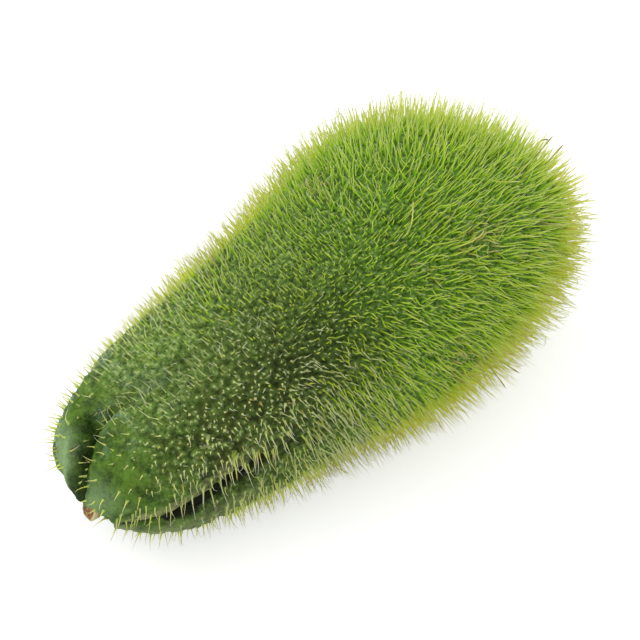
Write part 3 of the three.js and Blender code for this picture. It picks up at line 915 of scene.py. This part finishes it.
def make_bristles(rng, along, angle):
    """All the bristles in one pass, then one piece for each stretch of the fruit."""
    at = bristle_sites(along, angle)
    headings = bristle_headings(rng, at)
    sideways = rng.normal(0, 1, (at.count, 3)) + (0.5, -0.2, 0.1)
    lengths = bristle_lengths(rng, at)
    bend, hook, wave = bristle_curls(rng, at)
    kinds = bristle_kinds(rng, at)
    shades = bristle_shades(rng, at)
    bluntness = np.full(at.count, BLUNTNESS)
    for spot in DARK_TIPS:
        chosen = np.argmin(away_from(at.roots, *spot))
        kinds[chosen], shades[chosen] = DARK, SHADES - 1
        lengths[chosen], bluntness[chosen] = DARK_TIP_LENGTH, DARK_TIP_BLUNTNESS
    for *spot, toward, length in STRAYS:
        chosen = np.argmin(away_from(at.roots, *spot))
        kinds[chosen], shades[chosen] = NECK_END - STRIP, SHADES - 1
        sideways[chosen], lengths[chosen], bluntness[chosen] = toward, length, STRAY_BLUNTNESS
        bend[chosen], hook[chosen], wave[chosen] = STRAY_BEND, STRAY_HOOK, STRAY_WAVE
    sideways = unit(sideways - (sideways * headings).sum(-1, keepdims=True) * headings)
    places, ways = grow(
        at.roots - headings * ROOTED, headings, sideways, lengths + ROOTED, bend, hook, wave,
        rng.uniform(0, 2 * math.pi, at.count),
    )
    radii = bristle_radii(at, bluntness)
    pieces = []
    for name, (sides, start, end) in STRETCHES.items():
        here = (at.x >= start) & (at.x < end)
        pieces.append(bristle_mesh(
            name, sides, places[here], ways[here], radii[here], kinds[here], shades[here],
        ))
    return pieces


# ---------------------------------------------------------------- the stem stub

STUB_GAP, STUB_RADIUS, STUB_LENGTH = 0.35, 2.7, 9
STUB_END_WAY = (-1, 0.1, 0.6)  # the way its broken end faces, on the level fruit
STUB_FACE = 0.93  # where the middle of its end face lies, as a share of its length
# Half its section, as shares of its radius and its length: the foot, the waist, the flared rim and the face.
STUB_PROFILE = np.array([
    (0, 0), (0.6, 0), (0.95, 0.03), (1, 0.14), (0.88, 0.45), (0.98, 0.78), (1.1, 0.93), (1.06, 0.985),
    (0.92, 0.995), (0.8, 0.95), (0.45, 0.92), (0, STUB_FACE),
])
STUB_ROWS, STUB_COLUMNS = 60, 80


def make_stub():
    """The stub: a peg that stands on the floor of the hollow and bends to one side, flared at its broken
    end, with shallow ribs and a sunken, rough end face."""
    base = fruit(np.array([0.0]), np.zeros(1))[0]
    down = np.array([math.cos(MOUTH_SKEW_ANGLE), math.sin(MOUTH_SKEW_ANGLE)]) * MOUTH_SKEW
    foot = unit(lean(np.array([-1.0, *down])))
    end = unit(lean(np.array(STUB_END_WAY, float)))
    curve = spline(STUB_PROFILE, np.linspace(0, 1, STUB_ROWS + 1))[1:-1]
    turn = np.arange(STUB_COLUMNS) / STUB_COLUMNS * 2 * math.pi
    ribs = 1 + 0.05 * np.cos(5 * turn) + 0.02 * np.cos(13 * turn + 1)
    radius = curve[:, :1] * STUB_RADIUS * ribs

    def axis(share):
        """Middle points of the bent peg at shares of its length."""
        bent = share**2 / 2
        return base + foot * STUB_GAP + STUB_LENGTH * (foot * (share - bent) + end * bent)

    share = curve[:, 1:].clip(0, 1)
    outward = unit(foot * (1 - share) + end * share)
    wide = unit(np.cross(outward, (0.0, 0.0, 1.0)))
    high = np.cross(outward, wide)
    points = (
        axis(share)[:, None] + (radius * np.cos(turn))[..., None] * wide[:, None]
        + (radius * np.sin(turn))[..., None] * high[:, None]
    )
    on_face = smoothstep(curve[:, 1:], 0.85, 0.93)
    rough = noise(points, 0.8, 8) * 0.16 + noise(points, 2.0, 9) * 0.12
    points = points + end * (rough * on_face)[..., None]
    ends = axis(np.array([[0.0], [STUB_FACE]]))
    faces = [revolve_faces(STUB_ROWS - 1, STUB_COLUMNS)[0], *closing_fans(STUB_ROWS - 1, STUB_COLUMNS)]
    rim = bell(curve[:, 0] - 1.05, 0.14) * smoothstep(curve[:, 1], 0.75, 0.9)
    rim = np.append(np.repeat(rim, STUB_COLUMNS), [0, 0])
    return mesh_object("stalk_end", np.concatenate([points.reshape(-1, 3), ends]), faces, rim=rim)


# ---------------------------------------------------------------- the studio

CAMERA_AZIMUTH = math.radians(-34.69)
CAMERA_ELEVATION = math.radians(55)
CAMERA_DISTANCE = 0.62
CAMERA_LENS = 131.55
AIM = Vector((REST + (-18.89, -0.25, 31.77)) * MM)
WORLD_LIGHT = 0.86
SUN_LIGHT, SUN_SPREAD = 0.7, math.radians(50)
SUN_FROM = Vector((-0.35, 0.75, 1.0))
WHITE = (1, 1, 1, 1)
FLOOR_COLOUR = (0.8, 0.8, 0.8, 1)
FLOOR_GLOW = 0.52
FLOOR_REACH = 3000


def make_camera():
    """The camera, at its distance from where it aims."""
    back = Vector((
        math.sin(CAMERA_AZIMUTH) * math.cos(CAMERA_ELEVATION),
        -math.cos(CAMERA_AZIMUTH) * math.cos(CAMERA_ELEVATION),
        math.sin(CAMERA_ELEVATION),
    ))
    data = bpy.data.cameras.new("camera")
    data.lens = CAMERA_LENS
    camera = bpy.data.objects.new("camera", data)
    camera.location = AIM + back * CAMERA_DISTANCE
    camera.rotation_euler = back.to_track_quat("Z", "Y").to_euler()
    bpy.context.collection.objects.link(camera)
    bpy.context.scene.camera = camera


def seen_directly(shade):
    """1 for what the camera sees, also in reflections and through glass, and 0 for light on surfaces."""
    kinds = ("Camera", "Glossy", "Transmission")
    paths = [shade.make("LightPath", output=f"Is {kind} Ray") for kind in kinds]
    return paths[0].math("MAXIMUM", paths[0], paths[1].math("MAXIMUM", paths[1], paths[2]))


def make_light():
    """White all round, with one broad soft sun from behind the fruit."""
    sun = bpy.data.lights.new("window", "SUN")
    sun.energy = SUN_LIGHT
    sun.angle = SUN_SPREAD
    lamp = bpy.data.objects.new("window", sun)
    lamp.rotation_euler = SUN_FROM.to_track_quat("Z", "Y").to_euler()
    bpy.context.collection.objects.link(lamp)
    world = bpy.data.worlds.new("studio")
    world.use_nodes = True
    world.node_tree.nodes.clear()
    shade = Shade(world.node_tree)
    strength = seen_directly(shade) * (1 - WORLD_LIGHT) + WORLD_LIGHT
    surface = shade.make("Background", None, {"Color": WHITE, "Strength": strength})
    shade.make("OutputWorld", None, {"Surface": surface})
    bpy.context.scene.world = world


def make_floor():
    """A white table. The camera sees it a little brighter, so that it is white and keeps the shadow."""
    made, shade = material("white_table")
    lit = shade.make("BsdfDiffuse", None, {"Color": FLOOR_COLOUR})
    glow = {"Color": WHITE, "Strength": seen_directly(shade) * FLOOR_GLOW}
    finish_material(shade, shade.make("AddShader", None, {0: lit, 1: shade.make("Emission", None, glow)}))
    corners = FLOOR_REACH * np.array([(-1, -1, 0), (1, -1, 0), (1, 1, 0), (-1, 1, 0)], float)
    floor = mesh_object("table_top", corners, [np.array([[0, 1, 2, 3]])])
    floor.data.materials.append(made)


# ---------------------------------------------------------------- everything together

make_camera()
make_light()
make_floor()

rng = np.random.default_rng(11)
rooted = scatter_roots(rng)
skin = make_skin(rooted)
skin.data.materials.append(skin_material())
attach(skin, "root")
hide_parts("fruit")

bristle_finish = bristle_material()
for bristles in make_bristles(rng, *rooted):
    bristles.data.materials.append(bristle_finish)
    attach(bristles, "root")

stalk_end = make_stub()
stalk_end.data.materials.append(stub_material())
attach(stalk_end, "root")
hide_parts("stem_stub")

bpy.context.scene.view_settings.view_transform = "Standard"
